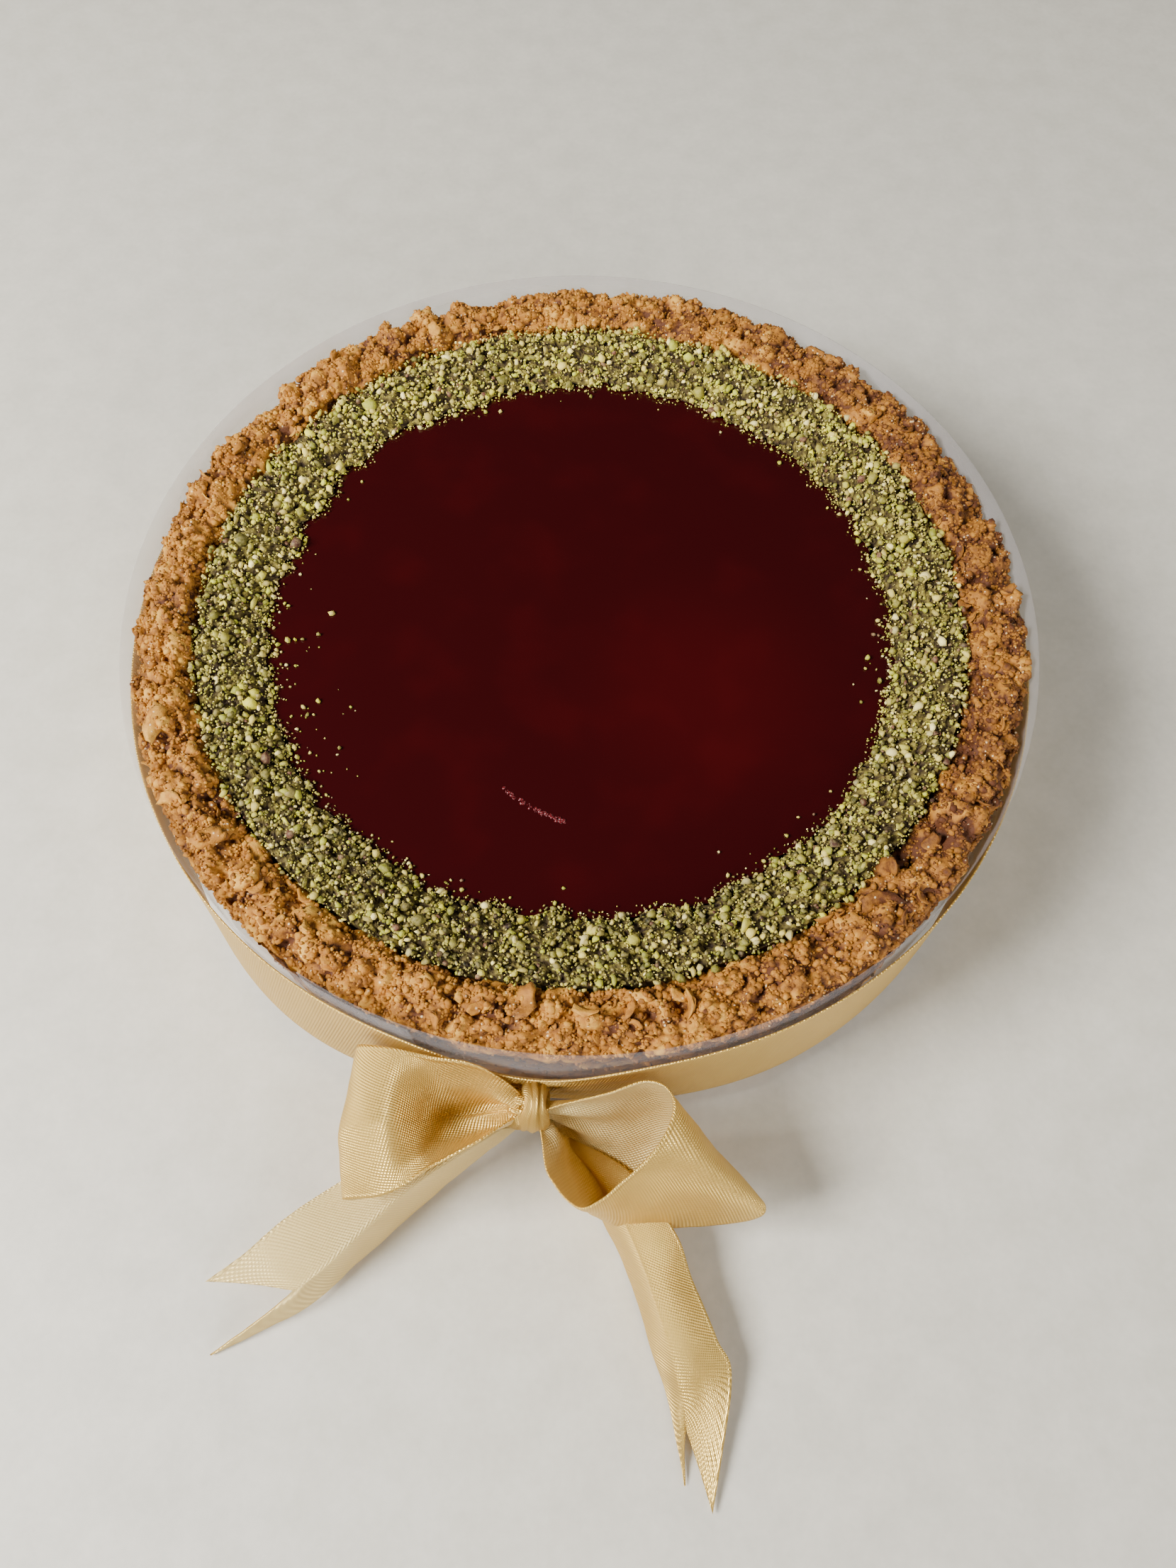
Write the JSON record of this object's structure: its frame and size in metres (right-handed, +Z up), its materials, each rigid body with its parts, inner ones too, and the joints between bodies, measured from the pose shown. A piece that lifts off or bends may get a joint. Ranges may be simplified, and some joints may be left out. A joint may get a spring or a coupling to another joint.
{
  "type": "baked cheesecake",
  "caption": "Round baked cheesecake in a tall crumb crust, with a dark fruit glaze, a chopped pistachio edge, a clear collar and a satin ribbon tied in a bow.",
  "frame": {"origin": "middle of the cake's flat base, on the surface that it stands on", "axes": "+Z up through the middle of the cake, -Y towards the bow at the front, +X to the right of a viewer who faces the bow"},
  "size_m": [0.1714, 0.2357, 0.04],
  "materials": {
    "crumb_crust": "baked, rough and crumbly, with a little buttery sheen",
    "fruit_glaze": "smooth set jelly with a soft gloss",
    "chopped_pistachio": "matt chopped nuts, yellow-green to pale, with some dark skins",
    "clear_film": "clear glossy plastic film",
    "gold_satin": "champagne-gold satin with a soft sheen"
  },
  "bodies": {
    "root": {"crust_cake": "crumb_crust", "fruit_glaze": "fruit_glaze", "pistachio_ring": "chopped_pistachio", "clear_collar": "clear_film", "satin_ribbon": "gold_satin"}
  },
  "joints": []
}
